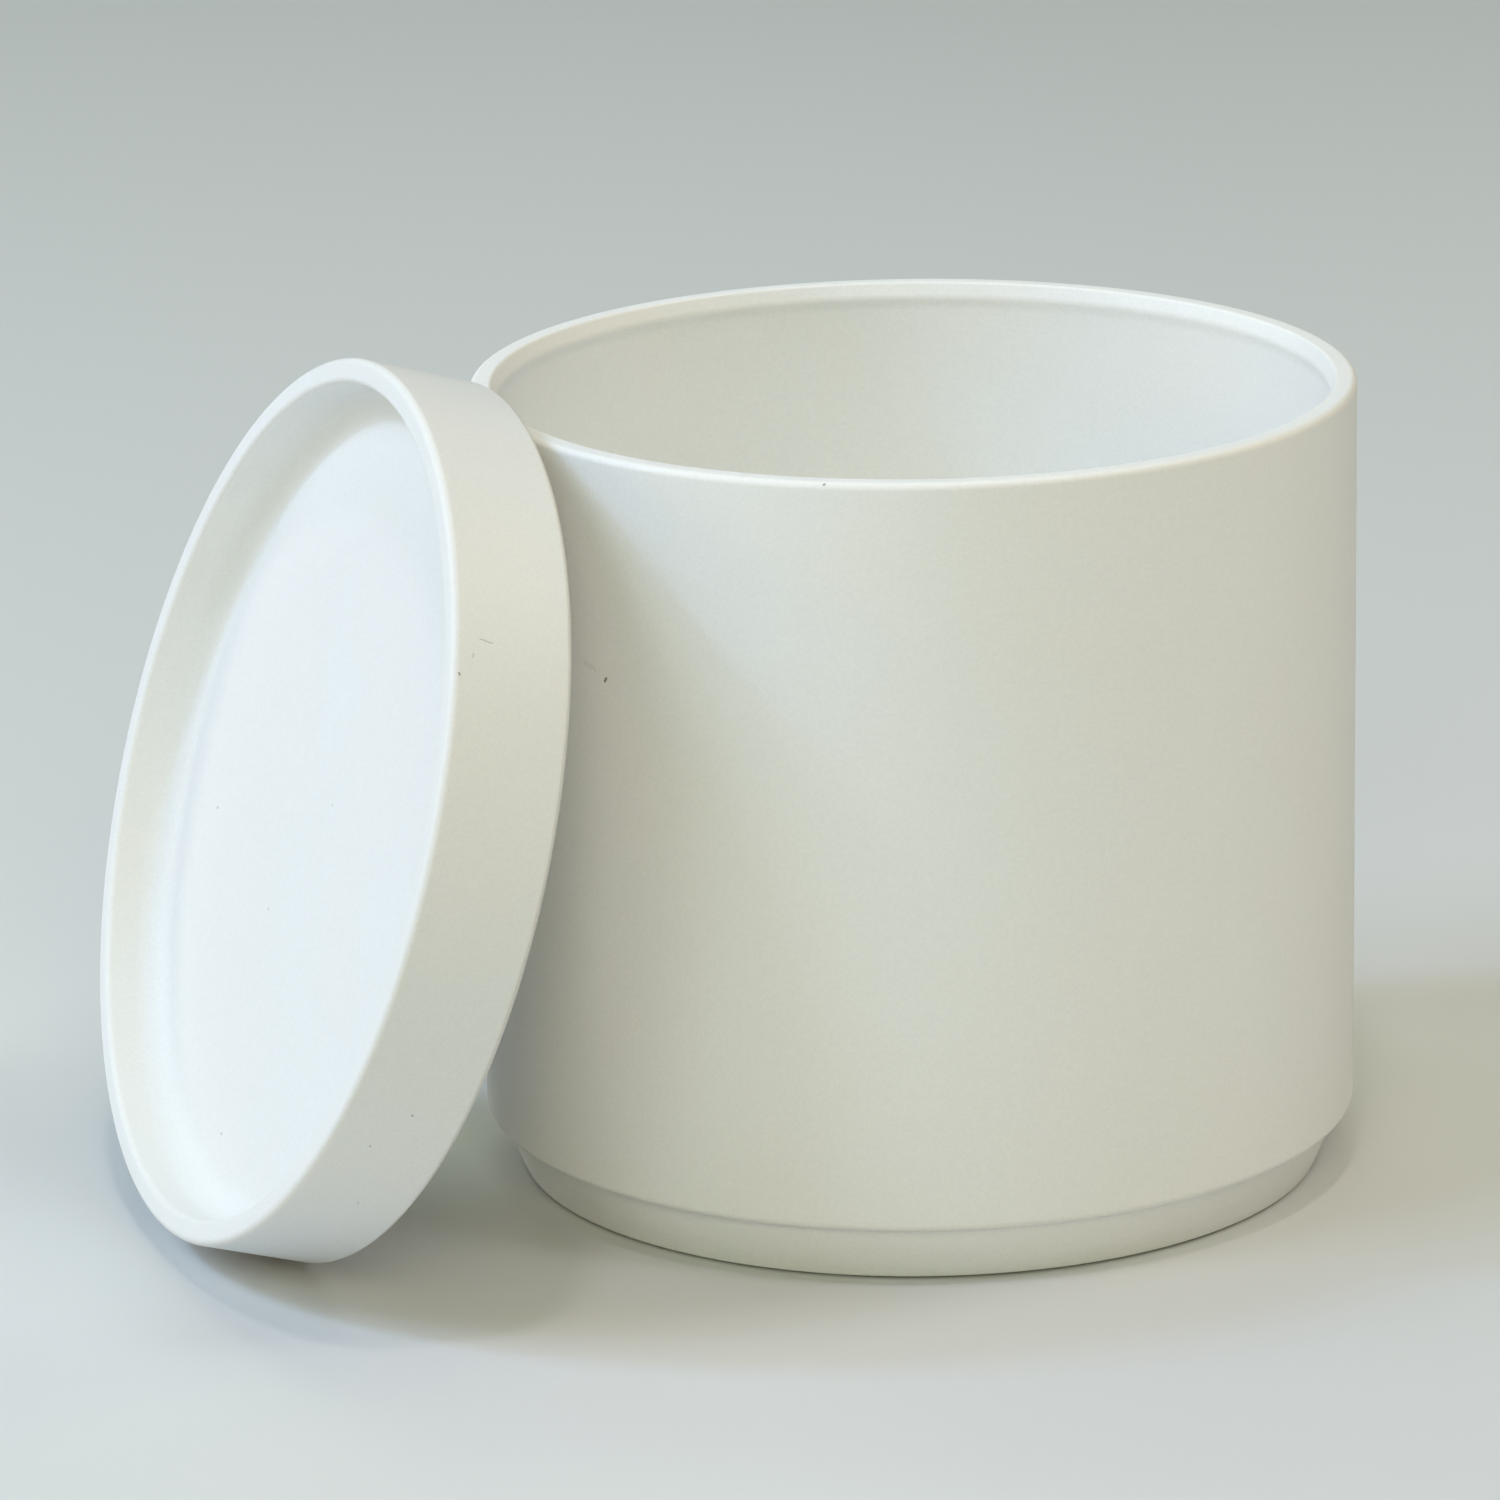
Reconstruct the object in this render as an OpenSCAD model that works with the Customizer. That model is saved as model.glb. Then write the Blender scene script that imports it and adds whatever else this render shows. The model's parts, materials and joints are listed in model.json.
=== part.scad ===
// Porcelain crucible: a straight-sided cylindrical vessel on a tapered foot, with a dished lid.
// The vessel stands on z = 0 with its axis on the Z axis. The lid is off the vessel: its seat side
// faces +X and its locating spigot leans on the vessel's -X side, with its lower edge on z = 0.

/* [Vessel] */
// Outside diameter of the vessel
vessel_d = 100; // [99.5:0.5:110]
// Height of the vessel from the surface to its rim
vessel_h = 91.5; // [80:0.5:120]
// Thickness of the side wall
wall = 2.9; // [2.7:0.1:3.1]
// Thickness of the bottom
floor_t = 5; // [4:0.5:7]
// Width of the flat rim
rim_w = 2.4; // [2:0.1:2.6]
// Drop of the sloping lip inside the rim
lip_drop = 1.7; // [1:0.1:2]
// Inward reach of the sloping lip
lip_w = 0.7; // [0.5:0.1:1]
// Radius of the rim's outer edge
rim_edge_r = 0.8; // [0.4:0.1:1]

/* [Foot] */
// Diameter of the foot at its top, under the body
foot_top_d = 97.2; // [92:0.2:98]
// Diameter of the foot at its bottom
foot_d = 91.8; // [88:0.2:92]
// Height of the foot
foot_h = 6.8; // [5:0.1:8]
// Diameter of the foot ring that the vessel stands on
foot_ring_d = 89; // [86:0.2:90]
// Width of the foot ring
foot_ring_w = 5; // [4:0.5:7]
// Height of the foot ring
foot_ring_h = 0.3; // [0.2:0.1:0.5]
// Depth of the hollow inside the foot ring
foot_hollow = 1.5; // [1:0.1:2]

/* [Lid] */
// Outside diameter of the lid
lid_d = 99.6; // [96:0.2:100]
// Thickness of the lid at its rim
lid_t = 14; // [13:0.5:18]
// Depth of the dish in the top of the lid
dish_depth = 6.8; // [5:0.1:8]
// Diameter of the mouth of the dish
dish_d = 94; // [93:0.2:94.6]
// Radius of the cove at the bottom of the dish
cove_r = 3.5; // [2:0.1:4]
// Diameter of the spigot that drops into the vessel's mouth
spigot_d = 91.2; // [88:0.2:91.8]
// Height of the spigot
spigot_h = 1.5; // [1:0.1:2]

/* [Leaning lid] */
// Tilt of the lid from upright
lean = 17; // [16:0.5:24]
// Sideways distance of the lid's centre from the XZ plane
side_shift = 1.8; // [-4:0.1:4]
// Gap between the lid and what it touches
contact_gap = 0.1; // [0.05:0.05:0.3]

/* [Hidden] */
$fn = 192;

// Radii taken from the diameters above
vessel_r = vessel_d / 2;
foot_top_r = foot_top_d / 2;
foot_r = foot_d / 2;
foot_ring_r = foot_ring_d / 2;
lid_r = lid_d / 2;
dish_r = dish_d / 2;
spigot_r = spigot_d / 2;

// Inside of the vessel: the flat rim, the tip of its lip, and the wider bore under the lip
rim_in_r = vessel_r - rim_w;
lip_r = rim_in_r - lip_w;
lip_z = vessel_h - lip_drop;
bore_r = vessel_r - wall;
lip_under = 1.2;
bore_top_z = lip_z - lip_under;
inside_floor_z = foot_hollow + floor_t;
inside_cove_r = 6;

// Softened edges
step_edge_r = 0.9;
dish_edge_r = 0.6;
spigot_edge_r = 0.4;
lid_edge_r = 0.8;
over = 1;

// Place of the lid: the centre of its seat plane, found from its two touching edges
seat_z = lid_edge_r + (lid_r - lid_edge_r) * cos(lean) - lid_edge_r * sin(lean) + contact_gap;
spigot_reach = (spigot_h - spigot_edge_r) * cos(lean) + (spigot_r - spigot_edge_r) * sin(lean);
seat_x = -vessel_r - contact_gap - spigot_edge_r - spigot_reach;

// Turns a shape drawn in the +X +Y quadrant into the quadrant that dx and dy point to
module into_quadrant(dx, dy) {
    mirror([dx < 0 ? 1 : 0, 0]) mirror([0, dy < 0 ? 1 : 0]) children();
}

// The sliver between a square corner at (x, y) and the arc of radius r that rounds it. The shape
// whose corner it is lies towards dx and dy. Taken away from a solid the sliver rounds its edge;
// taken away from a hollow it leaves a cove there.
module corner_sliver(x, y, r, dx, dy) {
    translate([x, y]) into_quadrant(dx, dy) difference() {
        translate([-over, -over]) square(r + over);
        translate([r, r]) circle(r);
    }
}

module box_between(x0, x1, y0, y1) {
    translate([x0, y0]) square([x1 - x0, y1 - y0]);
}

// Outer half outline of the vessel: body over a foot that tapers down to a thin ring
module vessel_outline() {
    difference() {
        box_between(0, vessel_r, foot_h, vessel_h);
        corner_sliver(vessel_r, vessel_h, rim_edge_r, -1, -1);
        corner_sliver(vessel_r, foot_h, step_edge_r, -1, 1);
    }
    polygon([
        [0, 0],
        [foot_ring_r, 0],
        [foot_ring_r, foot_ring_h],
        [foot_r, foot_ring_h],
        [foot_top_r, foot_h],
        [foot_top_r, foot_h + over],
        [0, foot_h + over]
    ]);
}

// Half outline of the space inside the vessel: a bore with a coved floor, narrowed by the lip
module vessel_inside() {
    difference() {
        box_between(0, bore_r, inside_floor_z, bore_top_z);
        corner_sliver(bore_r, inside_floor_z, inside_cove_r, -1, 1);
    }
    polygon([
        [0, bore_top_z],
        [bore_r, bore_top_z],
        [lip_r, lip_z],
        [rim_in_r, vessel_h],
        [rim_in_r, vessel_h + over],
        [0, vessel_h + over]
    ]);
}

module vessel() {
    color("ghostwhite") rotate_extrude() difference() {
        vessel_outline();
        vessel_inside();
        box_between(0, foot_ring_r - foot_ring_w, -over, foot_hollow);
    }
}

// Half outline of the lid, with its seat plane on y = 0 and its dish facing +Y
module lid_outline() {
    difference() {
        box_between(0, lid_r, 0, lid_t);
        corner_sliver(lid_r, 0, lid_edge_r, -1, 1);
        corner_sliver(lid_r, lid_t, lid_edge_r, -1, -1);
        corner_sliver(dish_r, lid_t, dish_edge_r, 1, -1);
        dish_outline();
    }
    difference() {
        box_between(0, spigot_r, -spigot_h, over);
        corner_sliver(spigot_r, -spigot_h, spigot_edge_r, -1, 1);
    }
}

// Half outline of the hollow of the dish, with a cove round its floor
module dish_outline() {
    difference() {
        box_between(0, dish_r, lid_t - dish_depth, lid_t + over);
        corner_sliver(dish_r, lid_t - dish_depth, cove_r, -1, 1);
    }
}

module lid() {
    color("white") translate([seat_x, -side_shift, seat_z]) rotate([0, lean - 90, 0])
        rotate_extrude() lid_outline();
}

vessel();
lid();
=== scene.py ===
"""A white porcelain crucible on a pale floor, with its dished lid off and leaning on its side.

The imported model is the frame. Both pieces are turned again here as fine lathe meshes of the
same sizes, with softened edges and a satin glaze that has the marks of a fired and used one.
"""
import json
import math

import bmesh
import bpy
from mathutils import Matrix, Vector


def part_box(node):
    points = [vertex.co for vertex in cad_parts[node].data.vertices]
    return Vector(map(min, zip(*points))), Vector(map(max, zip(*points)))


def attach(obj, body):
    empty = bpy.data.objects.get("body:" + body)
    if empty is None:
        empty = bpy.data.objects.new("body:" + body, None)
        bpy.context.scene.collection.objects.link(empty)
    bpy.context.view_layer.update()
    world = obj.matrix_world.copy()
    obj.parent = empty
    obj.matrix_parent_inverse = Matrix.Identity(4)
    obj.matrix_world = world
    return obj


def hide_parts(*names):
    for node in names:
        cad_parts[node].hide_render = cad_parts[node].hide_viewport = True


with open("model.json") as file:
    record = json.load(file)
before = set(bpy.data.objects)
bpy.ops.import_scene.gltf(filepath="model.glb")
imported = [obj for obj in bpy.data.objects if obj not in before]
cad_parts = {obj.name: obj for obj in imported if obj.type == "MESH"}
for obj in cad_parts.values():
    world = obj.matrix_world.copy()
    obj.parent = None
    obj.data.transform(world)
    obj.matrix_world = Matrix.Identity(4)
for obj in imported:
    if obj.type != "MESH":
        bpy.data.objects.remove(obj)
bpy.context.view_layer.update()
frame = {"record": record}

MM = 0.001

# Fineness of the lathe: faces round the axis, and the longest step and turn along an arc
TURNS = 384
ARC_STEP = 0.12
ARC_TURN = 0.16

# Sizes that the frame gives, in millimetres
vessel_low, vessel_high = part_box("vessel")
lid_low, lid_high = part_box("lid")
vessel_r = vessel_high[0] / MM
vessel_h = vessel_high[2] / MM
lid_r = (lid_high[1] - lid_low[1]) / 2 / MM
mounts = {mount["name"]: mount for mount in frame["record"]["mounts"]}

# Sizes of the vessel that its box doesn't give. An EDGE_R rounds an edge, and a COVE_R or ROOT_R
# rounds a corner between two faces.
WALL = 2.9
FLOOR_T = 5.0
RIM_W = 2.4
RIM_EDGE_R = 0.8
RIM_IN_EDGE_R = 0.4
LIP_DROP = 1.7
LIP_W = 0.7
LIP_UNDER = 1.2
LIP_EDGE_R = 1.5
BORE_EDGE_R = 5.0
STEP_EDGE_R = 0.9
FOOT_TOP_INSET = 1.4
FOOT_ROOT_R = 0.2
FOOT_INSET = 4.1
FOOT_EDGE_R = 0.2
FOOT_H = 6.8
FOOT_RING_INSET = 5.5
FOOT_RING_W = 5.0
FOOT_RING_H = 0.3
FOOT_RING_EDGE_R = 0.1
FOOT_RING_IN_EDGE_R = 0.4
FOOT_HOLLOW = 1.5
FOOT_HOLLOW_COVE_R = 0.5
INSIDE_COVE_R = 6.0

# Sizes of the lid that its box doesn't give. It is bare clay up to LID_BARE_H over its seat.
LID_T = 14.0
LID_EDGE_R = 0.8
LID_RING_W = 2.8
DISH_DEPTH = 6.8
DISH_EDGE_R = 0.6
DISH_COVE_R = 3.5
SPIGOT_INSET = 4.2
SPIGOT_H = 1.5
SPIGOT_EDGE_R = 0.4
SPIGOT_ROOT_R = 0.3
LID_BARE_H = 0.6

# Colours of the porcelain
GLAZE_COOL = (0.885, 0.890, 0.880, 1)
GLAZE_WARM = (0.890, 0.885, 0.865, 1)
# In hollows the colour goes darker and greener: glaze pooling there and painted shade. On edges it goes
# warmer: glaze run thin and a faint painted highlight.
GLAZE_POOLED_SHADED = (0.870, 0.885, 0.880, 1)
GLAZE_THIN_LIT = (0.900, 0.885, 0.855, 1)
BARE_CLAY = (0.780, 0.770, 0.735, 1)
SPECK = (0.120, 0.085, 0.060, 1)

# The lid's colour is made a little darker than the vessel's by this factor: painted shade that dims its
# brightly lit faces, on the same porcelain
LID_PAINTED_SHADE = 0.93

# Depths of the glaze's relief and sizes of its lumps and patches, in millimetres
SAG_DEPTH = 0.08
SAG_SIZE = 20
RING_DEPTH = 0.012
PEEL_DEPTH = 0.004
PEEL_SIZE = 1.6
GRAIN_DEPTH = 0.002
GRAIN_SIZE = 0.35
TINT_SIZE = 22
GLOSS_SIZE = 6

# The glaze's shine: roughness in its glossier and duller patches, what bare clay adds, and how
# strongly the glaze reflects
GLOSSY = 0.46
DULL = 0.54
CLAY_ROUGHER = 0.25
REFLECTION = 0.35

# Small marks: angle round the axis in degrees, height, radius, length, width, tilt in radians,
# waviness and strength
VESSEL_MARKS = [
    (-154.75, 66.5, 50.0, 0.75, 0.22, 1.0, 0.0, 0.80),
    (-157.9, 67.7, 50.0, 1.60, 0.50, 0.3, 0.3, 0.09),
    (-156.7, 67.4, 50.0, 0.70, 0.20, -0.4, 0.1, 0.13),
    (-123.2, 91.3, 49.8, 0.40, 0.20, 0.5, 0.0, 0.60),
]
LID_MARKS = [
    (-54.1, 10.2, 49.8, 1.60, 0.10, 1.5, 0.06, 0.38),
    (-56.3, 11.7, 49.8, 0.60, 0.10, 0.2, 0.05, 0.35),
    (-59.0, 13.2, 49.8, 0.40, 0.18, 0.4, 0.0, 0.60),
    (-116.0, 6.3, 49.8, 0.36, 0.16, 0.3, 0.0, 0.50),
    (-122.2, 9.0, 49.8, 0.40, 0.14, 1.2, 0.05, 0.45),
    (104.9, 7.2, 33.4, 0.36, 0.20, 0.0, 0.0, 0.60),
    (148.0, 7.2, 16.6, 0.32, 0.20, 0.0, 0.0, 0.50),
    (-63.0, 7.2, 2.3, 0.30, 0.20, 0.0, 0.0, 0.50),
    (172.4, 7.2, 40.1, 0.34, 0.20, 0.0, 0.0, 0.55),
]


def rounded(corners):
    """The outline through (radius, height, rounding) corners, with each corner turned into an arc."""
    points = []
    last = len(corners) - 1
    for i, (x, y, r) in enumerate(corners):
        here = Vector((x, y))
        if r == 0 or i in (0, last):
            points.append(here)
            continue
        back = (Vector(corners[i - 1][:2]) - here).normalized()
        on = (Vector(corners[i + 1][:2]) - here).normalized()
        half = back.angle(on) / 2
        centre = here + (back + on).normalized() * r / math.sin(half)
        start = here + back * r / math.tan(half) - centre
        sweep = start.angle_signed(here + on * r / math.tan(half) - centre)
        steps = max(3, math.ceil(abs(sweep) * r / ARC_STEP), math.ceil(abs(sweep) / ARC_TURN))
        for k in range(steps + 1):
            points.append(centre + Matrix.Rotation(-sweep * k / steps, 2) @ start)
    return points


def with_supports(points, near=0.1, longest=4.0):
    """The outline with added points near the ends of its straights, so that they shade flat."""
    out = [points[0]]
    for a, b in zip(points, points[1:]):
        run = b - a
        if run.length > 6 * near:
            step = run.normalized() * near
            cuts = math.ceil(run.length / longest)
            out.append(a + step)
            out += [a.lerp(b, i / cuts) for i in range(1, cuts)]
            out.append(b - step)
        out.append(b)
    return out


def bends(outline):
    """How sharply the outline turns at each point, per millimetre: positive on a convex edge."""
    out = [0.0]
    for a, b, c in zip(outline, outline[1:], outline[2:]):
        turn = (b - a).angle_signed(c - b)
        out.append(-turn * 2 / (c - a).length)
    return out + [0.0]


def lathe(name, outline, place=Matrix()):
    """A mesh turned from an outline that starts and ends on the axis, then put in its place.

    For the materials each vertex keeps where it was on the lathe, how far along the outline it
    is and how sharply the outline turns there, in millimetres.
    """
    bm = bmesh.new()
    turned = bm.verts.layers.float_vector.new("turned")
    along = bm.verts.layers.float.new("along")
    bend = bm.verts.layers.float.new("bend")
    rings = []
    travelled = 0.0
    before = outline[0]
    for point, sharpness in zip(outline, bends(outline)):
        travelled += (point - before).length
        before = point
        ring = []
        count = TURNS if point.x > 0 else 1
        for i in range(count):
            angle = 2 * math.pi * i / count
            here = Vector((point.x * math.cos(angle), point.x * math.sin(angle), point.y))
            vert = bm.verts.new(place @ (here * MM))
            vert[turned] = here
            vert[along] = travelled
            vert[bend] = sharpness
            ring.append(vert)
        rings.append(ring)
    for low, high in zip(rings, rings[1:]):
        for i in range(TURNS):
            j = (i + 1) % TURNS
            corners = [low[i % len(low)], low[j % len(low)], high[j % len(high)], high[i % len(high)]]
            bm.faces.new(list(dict.fromkeys(corners)))
    bmesh.ops.recalc_face_normals(bm, faces=bm.faces)
    for face in bm.faces:
        face.smooth = True
    mesh = bpy.data.meshes.new(name)
    bm.to_mesh(mesh)
    bm.free()
    obj = bpy.data.objects.new(name, mesh)
    bpy.context.scene.collection.objects.link(obj)
    return obj


def vessel_outline():
    """From the middle of the underside, out round the foot, up the side and down the inside."""
    bore_r = vessel_r - WALL
    rim_in_r = vessel_r - RIM_W
    lip_r = rim_in_r - LIP_W
    lip_z = vessel_h - LIP_DROP
    foot_top_r = vessel_r - FOOT_TOP_INSET
    foot_r = vessel_r - FOOT_INSET
    ring_r = vessel_r - FOOT_RING_INSET
    ring_in_r = ring_r - FOOT_RING_W
    floor_z = FOOT_HOLLOW + FLOOR_T
    return with_supports(rounded([
        (0, FOOT_HOLLOW, 0),
        (ring_in_r, FOOT_HOLLOW, FOOT_HOLLOW_COVE_R),
        (ring_in_r, 0, FOOT_RING_IN_EDGE_R),
        (ring_r, 0, FOOT_RING_EDGE_R),
        (ring_r, FOOT_RING_H, FOOT_RING_EDGE_R),
        (foot_r, FOOT_RING_H, FOOT_EDGE_R),
        (foot_top_r, FOOT_H, FOOT_ROOT_R),
        (vessel_r, FOOT_H, STEP_EDGE_R),
        (vessel_r, vessel_h, RIM_EDGE_R),
        (rim_in_r, vessel_h, RIM_IN_EDGE_R),
        (lip_r, lip_z, LIP_EDGE_R),
        (bore_r, lip_z - LIP_UNDER, BORE_EDGE_R),
        (bore_r, floor_z, INSIDE_COVE_R),
        (0, floor_z, 0),
    ]))


def lid_outline():
    """From the middle of the spigot, out over the seat, up the band and down into the dish."""
    dish_r = lid_r - LID_RING_W
    spigot_r = lid_r - SPIGOT_INSET
    floor_z = LID_T - DISH_DEPTH
    return with_supports(rounded([
        (0, -SPIGOT_H, 0),
        (spigot_r, -SPIGOT_H, SPIGOT_EDGE_R),
        (spigot_r, 0, SPIGOT_ROOT_R),
        (lid_r, 0, LID_EDGE_R),
        (lid_r, LID_T, LID_EDGE_R),
        (dish_r, LID_T, DISH_EDGE_R),
        (dish_r, floor_z, DISH_COVE_R),
        (0, floor_z, 0),
    ]))


def lid_place():
    """The lid's own frame, from the mount on its dish floor: its axis out of the dish, its seat at 0."""
    mount = mounts["dish_floor"]
    out = Vector(mount["axis"]).normalized()
    side = Vector((0, 1, 0))
    seat = Vector(mount["pos_m"]) - out * (LID_T - DISH_DEPTH) * MM
    turn = Matrix((side.cross(out), side, out)).transposed().to_4x4()
    return Matrix.Translation(seat) @ turn


def feed(tree, socket, value):
    """Wires a value into a socket if it comes from a node, and sets it there if it doesn't."""
    if isinstance(value, bpy.types.NodeSocket):
        tree.links.new(value, socket)
    else:
        socket.default_value = value


def node(tree, kind, inputs, **settings):
    made = tree.nodes.new("ShaderNode" + kind)
    for name, value in settings.items():
        setattr(made, name, value)
    for name, value in inputs.items():
        feed(tree, made.inputs[name], value)
    return made


def maths(tree, operation, *values):
    return node(tree, "Math", dict(enumerate(values)), operation=operation).outputs[0]


def ramp(tree, value, low, high, to_low=0.0, to_high=1.0):
    """A value spread smoothly from one range to another and held at its ends."""
    inputs = {"Value": value, "From Min": low, "From Max": high, "To Min": to_low, "To Max": to_high}
    made = node(tree, "MapRange", inputs, interpolation_type="SMOOTHSTEP")
    return made.outputs["Result"]


def mixed(tree, factor, low, high, blend="MIX"):
    made = node(tree, "Mix", {0: factor, 6: low, 7: high}, data_type="RGBA", blend_type=blend)
    return made.outputs[2]


def cloud(tree, vector, size, detail=2.0):
    """Soft noise from 0 to 1 with lumps of about this size in millimetres."""
    inputs = {"Vector": vector, "Scale": 1 / size, "Detail": detail, "Roughness": 0.55}
    return node(tree, "TexNoise", inputs).outputs["Fac"]


def stored(tree, name):
    """What the lathe stored at each vertex under this name."""
    return node(tree, "Attribute", {}, attribute_name=name)


def turning(tree, along, turned):
    """Faint rings left by turning: uneven along the outline and nearly even round the axis."""
    drift = cloud(tree, turned, 30)
    place = maths(tree, "MULTIPLY_ADD", drift, 1.5, along)
    coarse = node(tree, "TexNoise", {"W": place, "Scale": 0.45, "Detail": 1.0}, noise_dimensions="1D")
    fine = node(tree, "TexNoise", {"W": place, "Scale": 2.2, "Detail": 2.0}, noise_dimensions="1D")
    return maths(tree, "MULTIPLY_ADD", fine.outputs["Fac"], 0.35, coarse.outputs["Fac"])


def specks(tree, turned, spacing, size, share):
    """Mask of small iron specks: one to a cell of this spacing, in only a share of the cells."""
    cells = node(tree, "TexVoronoi", {"Vector": turned, "Scale": 1 / spacing})
    chance = node(tree, "SeparateColor", {"Color": cells.outputs["Color"]})
    reach = maths(tree, "MULTIPLY", chance.outputs["Green"], size / spacing)
    inside = maths(tree, "LESS_THAN", cells.outputs["Distance"], reach)
    chosen = maths(tree, "LESS_THAN", chance.outputs["Red"], share)
    return maths(tree, "MULTIPLY", inside, chosen)


def mark(tree, turned, angle, height, radius, length, width, tilt, wave, strength):
    """Mask of a short line on a round wall, or of a dot where the surface is level."""
    a = math.radians(angle)
    middle = Vector((radius * math.cos(a), radius * math.sin(a), height))
    across = Vector((-math.sin(a), math.cos(a), 0)) * math.cos(tilt) + Vector((0, 0, math.sin(tilt)))
    upward = Vector((math.sin(a), -math.cos(a), 0)) * math.sin(tilt) + Vector((0, 0, math.cos(tilt)))
    offset = node(tree, "VectorMath", {0: turned, 1: middle}, operation="SUBTRACT").outputs[0]
    u = node(tree, "VectorMath", {0: offset, 1: across}, operation="DOT_PRODUCT").outputs["Value"]
    v = node(tree, "VectorMath", {0: offset, 1: upward}, operation="DOT_PRODUCT").outputs["Value"]
    gap = node(tree, "VectorMath", {0: offset}, operation="LENGTH").outputs["Value"]
    bow = maths(tree, "SINE", maths(tree, "MULTIPLY", u, 4.5 / length))
    off_line = maths(tree, "ABSOLUTE", maths(tree, "MULTIPLY_ADD", bow, wave, v))
    line = ramp(tree, off_line, width * 0.4, width, 1.0, 0.0)
    ends = ramp(tree, gap, length * 0.4, length * 0.55, 1.0, 0.0)
    return maths(tree, "MULTIPLY", maths(tree, "MULTIPLY", line, ends), strength)


def most(tree, masks):
    """The strongest of several masks."""
    out = masks[0]
    for mask in masks[1:]:
        out = maths(tree, "MAXIMUM", out, mask)
    return out


def glaze_colour_and_painted_light(tree, bend, patches):
    """The glaze's colour: cool and warm patches, darker and greener in hollows from glaze pooling there
    and painted shade, and warmer on edges from glaze run thin and a faint painted highlight.
    """
    # Painted shade in hollows and a faint painted highlight on edges, together with the glaze pooling
    # and running thin there
    pooled_and_shaded = ramp(tree, bend, 0.0, -0.5)
    thinned_and_lit = ramp(tree, bend, 0.2, 1.2)
    glaze = mixed(tree, patches, GLAZE_COOL, GLAZE_WARM)
    glaze = mixed(tree, maths(tree, "MULTIPLY", pooled_and_shaded, 0.5), glaze, GLAZE_POOLED_SHADED)
    return mixed(tree, maths(tree, "MULTIPLY", thinned_and_lit, 0.5), glaze, GLAZE_THIN_LIT)


def spotted(tree, turned, skin, marks):
    """The colour with iron specks of two sizes and the small marks of use on it."""
    small = specks(tree, turned, 7.0, 0.16, 0.10)
    large = specks(tree, turned, 19.0, 0.26, 0.10)
    spots = maths(tree, "MULTIPLY", maths(tree, "MAXIMUM", small, large), 0.55)
    marked = most(tree, [mark(tree, turned, *place) for place in marks])
    return mixed(tree, marked, mixed(tree, spots, skin, SPECK), SPECK)


def glaze_relief(tree, turned, along, grain):
    """Height of the glaze in millimetres: soft sags, turning rings, peel and grain."""
    rings = maths(tree, "MULTIPLY", turning(tree, along, turned), RING_DEPTH)
    relief = maths(tree, "MULTIPLY_ADD", cloud(tree, turned, SAG_SIZE), SAG_DEPTH, rings)
    relief = maths(tree, "MULTIPLY_ADD", cloud(tree, turned, PEEL_SIZE), PEEL_DEPTH, relief)
    return maths(tree, "MULTIPLY_ADD", grain, GRAIN_DEPTH, relief)


def porcelain(name, bare_below, marks, painted_shade=1.0):
    """Satin porcelain: a milky glaze with turning rings, specks and marks, bare clay low down, all
    darkened by a factor as painted shade.
    """
    mat = bpy.data.materials.new(name)
    mat.use_nodes = True
    tree = mat.node_tree
    turned = stored(tree, "turned").outputs["Vector"]
    along = stored(tree, "along").outputs["Fac"]
    bend = stored(tree, "bend").outputs["Fac"]
    height = node(tree, "SeparateXYZ", {0: turned}).outputs["Z"]
    patches = ramp(tree, cloud(tree, turned, TINT_SIZE, 3.0), 0.35, 0.65)
    grain = cloud(tree, turned, GRAIN_SIZE)

    uneven_height = maths(tree, "MULTIPLY_ADD", patches, 0.15, height)
    bare = ramp(tree, uneven_height, bare_below + 0.2, bare_below)
    skin = mixed(tree, bare, glaze_colour_and_painted_light(tree, bend, patches), BARE_CLAY)
    # The grain varies the colour at random, and the lid's factor darkens it all as painted shade
    shade = ramp(tree, grain, 0.3, 0.7, 0.975 * painted_shade, 1.015 * painted_shade)
    skin = mixed(tree, 1.0, skin, shade, "MULTIPLY")

    relief = glaze_relief(tree, turned, along, grain)
    bump = node(tree, "Bump", {"Height": relief, "Distance": MM, "Strength": 1.0})
    gloss = ramp(tree, cloud(tree, turned, GLOSS_SIZE, 3.0), 0.3, 0.7, GLOSSY, DULL)

    bsdf = tree.nodes["Principled BSDF"]
    feed(tree, bsdf.inputs["Base Color"], spotted(tree, turned, skin, marks))
    feed(tree, bsdf.inputs["Roughness"], maths(tree, "MULTIPLY_ADD", bare, CLAY_ROUGHER, gloss))
    feed(tree, bsdf.inputs["Normal"], bump.outputs["Normal"])
    bsdf.inputs["Specular IOR Level"].default_value = REFLECTION
    return mat


# The soft lights of the studio: name, azimuth clockwise from straight behind the vessel and
# elevation in degrees, width in metres, colour and power in watts
LIGHT_DISTANCE = 1.6
LIGHT_TARGET = Vector((0, 0, 0.04))
LIGHTS = [
    ("window", 282, 36, 0.60, (0.57, 0.73, 1.00), 5.3),
    ("window_spot", 285, 42, 0.20, (0.40, 0.60, 1.00), 5.0),
    ("window_high", 262, 48, 0.50, (0.67, 0.81, 1.00), 4.6),
    ("front", 197, 27, 0.70, (1.00, 0.94, 0.67), 7.0),
    ("front_spot", 207, 72, 0.15, (1.00, 0.88, 0.94), 2.8),
    ("ceiling", 120, 76, 1.00, (1.00, 0.92, 0.58), 3.5),
    ("ceiling_warm", 140, 58, 0.30, (0.93, 0.91, 1.00), 2.4),
    ("right", 95, 32, 0.90, (1.00, 0.93, 0.74), 4.8),
    ("back_left", 325, 30, 0.80, (0.82, 1.00, 0.89), 2.8),
    ("back_top", 10, 62, 0.80, (0.85, 1.00, 0.82), 3.5),
    ("low_left", 312, 8, 0.60, (1.00, 0.95, 0.80), 3.2),
    ("front_left", 228, 30, 0.60, (0.73, 1.00, 0.80), 1.9),
    ("left_low", 285, 14, 0.40, (1.00, 0.69, 0.28), 2.2),
]


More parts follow.
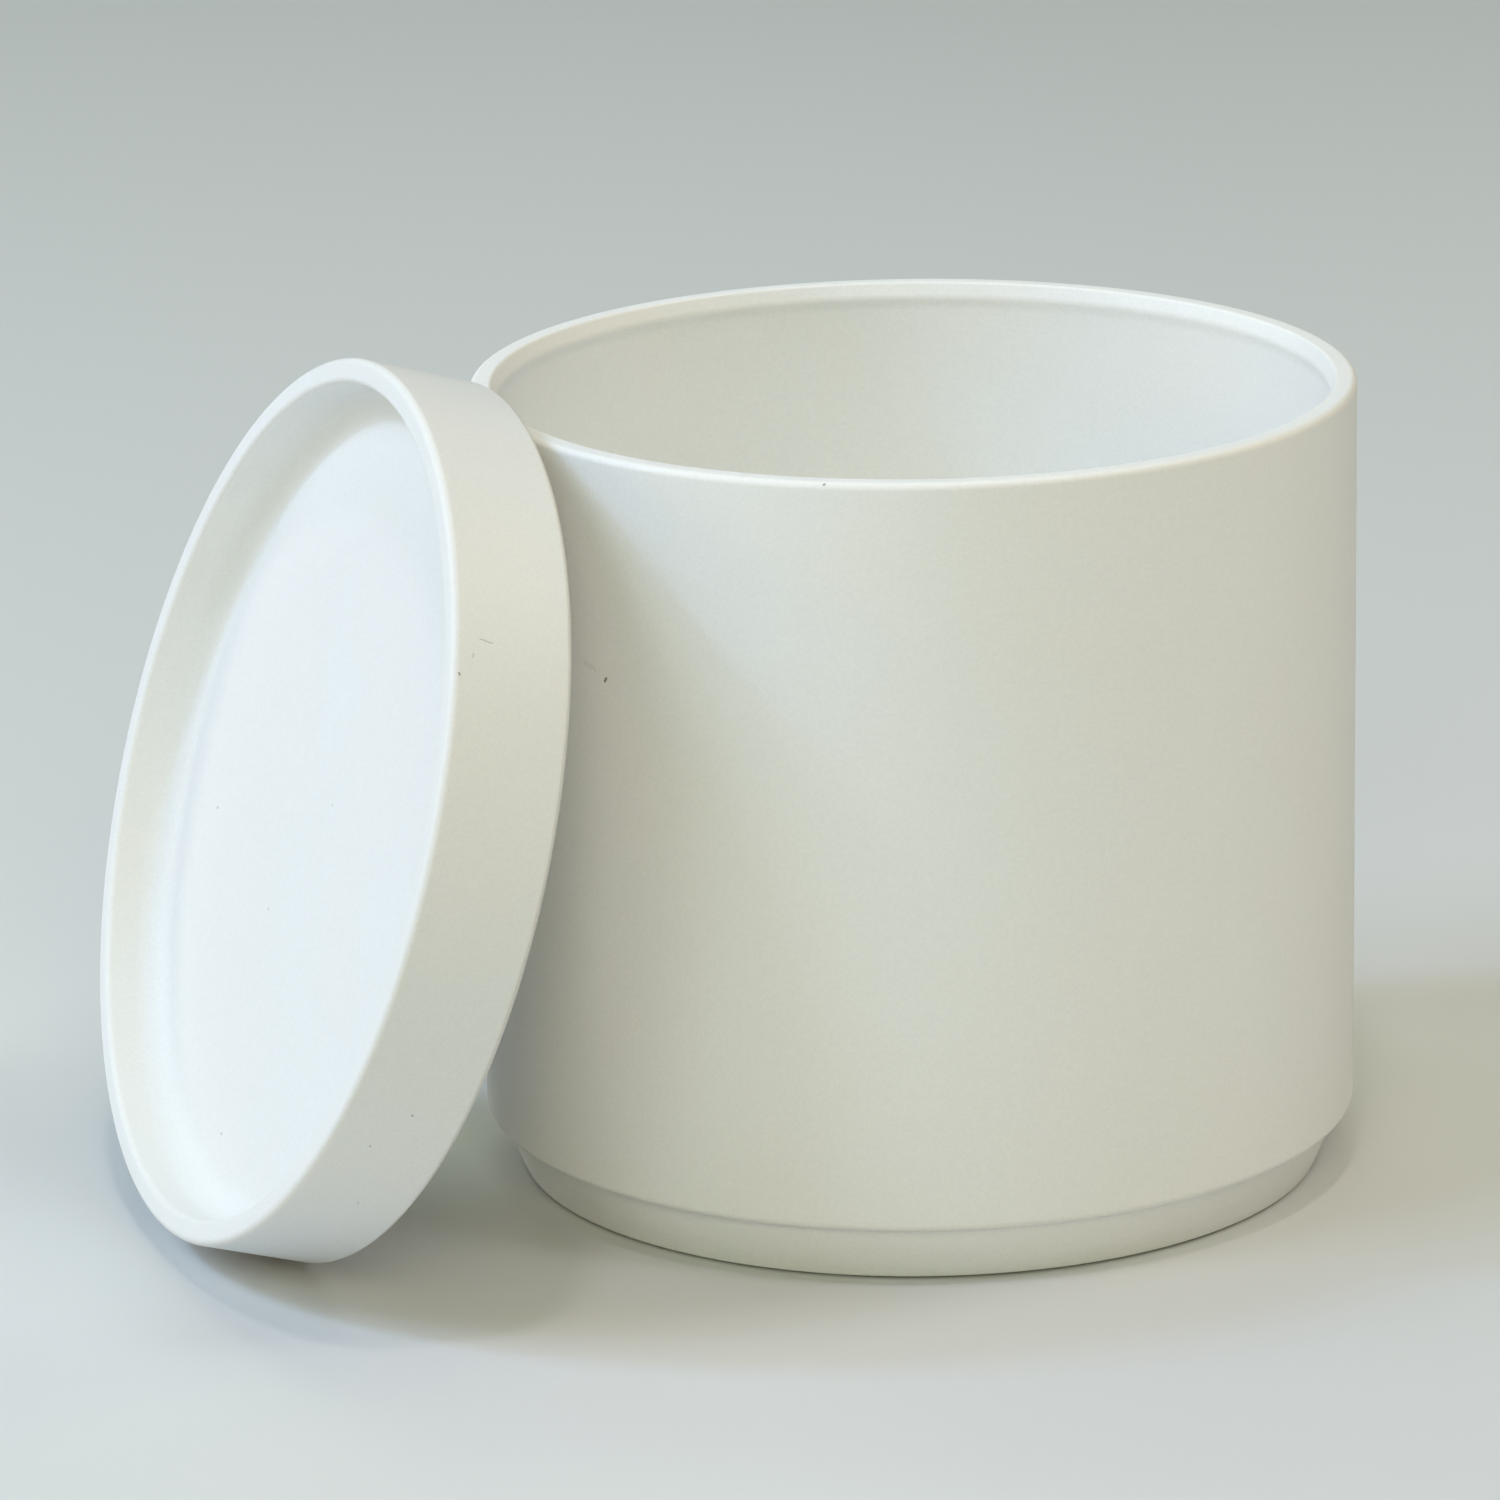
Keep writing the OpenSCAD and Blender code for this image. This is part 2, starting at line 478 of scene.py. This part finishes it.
def area_light(name, azimuth, elevation, width, colour, power):
    data = bpy.data.lights.new(name, "AREA")
    data.shape = "DISK"
    data.size = width
    data.color = colour
    data.energy = power
    obj = bpy.data.objects.new(name, data)
    bpy.context.scene.collection.objects.link(obj)
    a = math.radians(azimuth)
    e = math.radians(elevation)
    away = Vector((math.sin(a) * math.cos(e), math.cos(a) * math.cos(e), math.sin(e)))
    obj.location = LIGHT_TARGET + away * LIGHT_DISTANCE
    obj.rotation_euler = away.to_track_quat("Z", "Y").to_euler()


# The camera: a long lens in front of the vessel and to its left, a little above. Its distance
# is in millimetres and its turns are in degrees.
CAMERA_LENS = 190.23
CAMERA_SENSOR = 36
CAMERA_REACH = 50
CAMERA_DISTANCE = 920.2
CAMERA_AZIMUTH = -22.15
CAMERA_ELEVATION = 18.97
CAMERA_HEADING = -20.9
CAMERA_PITCH = 16.11
CAMERA_ROLL = -0.92


def camera():
    data = bpy.data.cameras.new("camera")
    data.lens = CAMERA_LENS
    data.sensor_width = CAMERA_SENSOR
    data.clip_end = CAMERA_REACH
    obj = bpy.data.objects.new("camera", data)
    bpy.context.scene.collection.objects.link(obj)
    azimuth = math.radians(CAMERA_AZIMUTH)
    elevation = math.radians(CAMERA_ELEVATION)
    level = math.cos(elevation)
    away = Vector((math.sin(azimuth) * level, -math.cos(azimuth) * level, math.sin(elevation)))
    obj.location = away * CAMERA_DISTANCE * MM
    turn = Matrix.Rotation(math.radians(CAMERA_HEADING), 3, "Z")
    turn = turn @ Matrix.Rotation(math.radians(90 - CAMERA_PITCH), 3, "X")
    turn = turn @ Matrix.Rotation(math.radians(CAMERA_ROLL), 3, "Z")
    obj.rotation_euler = turn.to_euler()
    bpy.context.scene.camera = obj


# The floor and the faint light from all round it
FLOOR_REACH = 4
FLOOR_COLOUR = (0.665, 0.675, 0.675, 1)
FLOOR_ROUGHNESS = 0.75
SKY_COLOUR = (0.9, 0.95, 0.93, 1)
SKY_STRENGTH = 0.01


def floor():
    mesh = bpy.data.meshes.new("floor")
    a, b = -FLOOR_REACH, FLOOR_REACH
    mesh.from_pydata([(a, a, 0), (b, a, 0), (b, b, 0), (a, b, 0)], [], [(0, 1, 2, 3)])
    obj = bpy.data.objects.new("floor", mesh)
    bpy.context.scene.collection.objects.link(obj)
    mat = bpy.data.materials.new("floor")
    mat.use_nodes = True
    bsdf = mat.node_tree.nodes["Principled BSDF"]
    bsdf.inputs["Base Color"].default_value = FLOOR_COLOUR
    bsdf.inputs["Roughness"].default_value = FLOOR_ROUGHNESS
    mesh.materials.append(mat)


def sky():
    world = bpy.data.worlds.new("studio")
    world.use_nodes = True
    background = world.node_tree.nodes["Background"]
    background.inputs["Color"].default_value = SKY_COLOUR
    background.inputs["Strength"].default_value = SKY_STRENGTH
    bpy.context.scene.world = world


camera()
vessel = lathe("vessel_body", vessel_outline())
vessel.data.materials.append(porcelain("vessel_porcelain", FOOT_RING_H, VESSEL_MARKS))
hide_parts("vessel")
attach(vessel, "vessel")

lid = lathe("lid_body", lid_outline(), lid_place())
# The lid's porcelain is darkened as painted shade
lid.data.materials.append(porcelain("lid_porcelain", LID_BARE_H, LID_MARKS, LID_PAINTED_SHADE))
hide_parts("lid")
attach(lid, "lid")

floor()
sky()
for light in LIGHTS:
    area_light(*light)
bpy.context.scene.view_settings.view_transform = "Standard"
